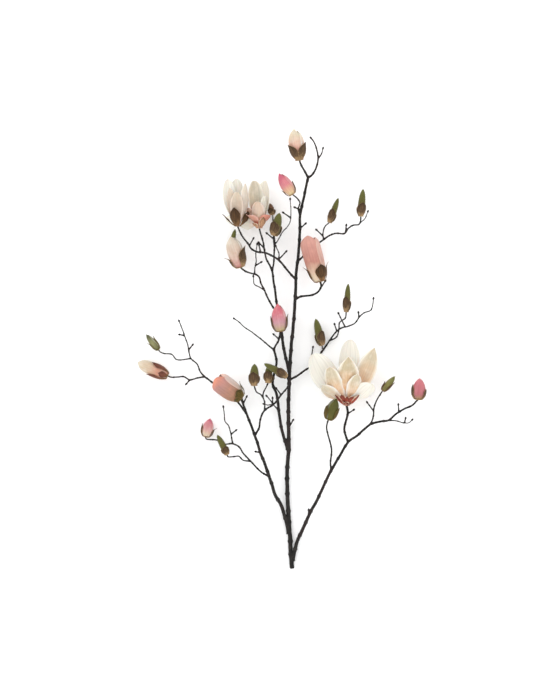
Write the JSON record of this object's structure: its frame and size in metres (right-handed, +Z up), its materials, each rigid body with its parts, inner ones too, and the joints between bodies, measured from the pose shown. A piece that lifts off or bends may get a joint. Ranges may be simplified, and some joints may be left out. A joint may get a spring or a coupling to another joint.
{
  "type": "saucer magnolia branch",
  "caption": "Cut branch of a saucer magnolia: forked dark wood with blooms in every stage from felted bud to open flower, lying on a surface",
  "frame": {"origin": "the middle of the branch's bounding box in X and Y, on the surface that it lies on", "axes": "+Y is the way the branch grows, from its cut end to its top bud; +X is to the right in the picture; +Z is up, towards the viewer"},
  "size_m": [0.7246, 1.1005, 0.0988],
  "materials": {
    "bark": "matt",
    "peach_tepal": "matt",
    "rose_tepal": "matt",
    "white_tepal": "matt",
    "cream_tepal": "matt",
    "salmon_tepal": "matt",
    "dusty_tepal": "matt",
    "stamen": "matt",
    "olive_felt": "felted",
    "green_felt": "felted",
    "brown_felt": "felted",
    "brown_scale": "matt",
    "dark_scale": "matt",
    "olive_scale": "matt",
    "rust_scale": "matt"
  },
  "bodies": {
    "root": {"wood": "bark", "head_01_bud": "peach_tepal", "head_01_scales": "brown_scale", "head_02_bud": "rose_tepal", "head_02_scales": "brown_scale", "head_03_bud": "white_tepal", "head_03_scales": "dark_scale", "head_04_bud": "cream_tepal", "head_04_scales": "brown_scale", "head_04_centre": "stamen", "head_05_bud": "brown_felt", "head_05_scales": "brown_scale", "head_06_bud": "olive_felt", "head_06_scales": "brown_scale", "head_07_bud": "green_felt", "head_07_scales": "brown_scale", "head_08_bud": "cream_tepal", "head_08_scales": "brown_scale", "head_09_bud": "salmon_tepal", "head_09_scales": "dark_scale", "head_10_bud": "olive_felt", "head_10_scales": "brown_scale", "head_11_bud": "olive_felt", "head_11_scales": "brown_scale", "head_12_bud": "olive_felt", "head_12_scales": "brown_scale", "head_13_bud": "olive_felt", "head_13_scales": "brown_scale", "head_14_bud": "rose_tepal", "head_14_scales": "dark_scale", "head_15_bud": "olive_felt", "head_15_scales": "brown_scale", "head_16_bud": "olive_felt", "head_16_scales": "brown_scale", "head_17_bud": "olive_felt", "head_17_scales": "brown_scale", "head_18_bud": "dusty_tepal", "head_18_scales": "dark_scale", "head_19_bud": "green_felt", "head_19_scales": "olive_scale", "head_20_bud": "cream_tepal", "head_20_scales": "rust_scale", "head_21_bud": "dusty_tepal", "head_21_scales": "dark_scale", "head_22_bud": "olive_felt", "head_22_scales": "brown_scale", "head_23_bud": "peach_tepal", "head_23_scales": "rust_scale", "head_23_centre": "stamen", "head_24_bud": "green_felt", "head_24_scales": "olive_scale", "head_25_bud": "green_felt", "head_25_scales": "dark_scale", "head_26_bud": "rose_tepal", "head_26_scales": "brown_scale"}
  },
  "joints": []
}
